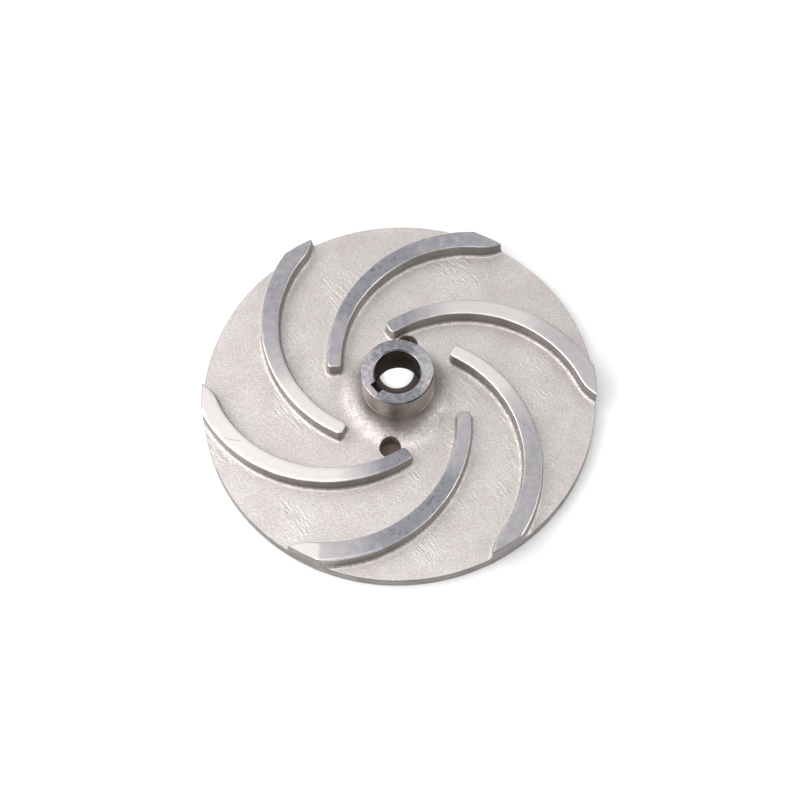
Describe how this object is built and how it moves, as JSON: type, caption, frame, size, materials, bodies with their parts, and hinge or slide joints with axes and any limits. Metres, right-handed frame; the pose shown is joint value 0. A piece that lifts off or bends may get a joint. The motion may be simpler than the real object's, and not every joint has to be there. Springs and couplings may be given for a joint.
{
  "type": "pump impeller",
  "caption": "Semi-open centrifugal pump impeller with backward-curved vanes, a keyed hub and balance holes, for moving liquid outward as it spins on a shaft.",
  "frame": {"origin": "centre of the back face, on the shaft axis", "axes": "+Z along the shaft axis, from the back face towards the vanes and the inlet"},
  "size_m": [0.1624, 0.1624, 0.028],
  "materials": {
    "cast_stainless": "blasted as-cast stainless steel with ground vane tops and a faced hub"
  },
  "bodies": {
    "root": {"impeller_casting": "cast_stainless"}
  },
  "joints": []
}
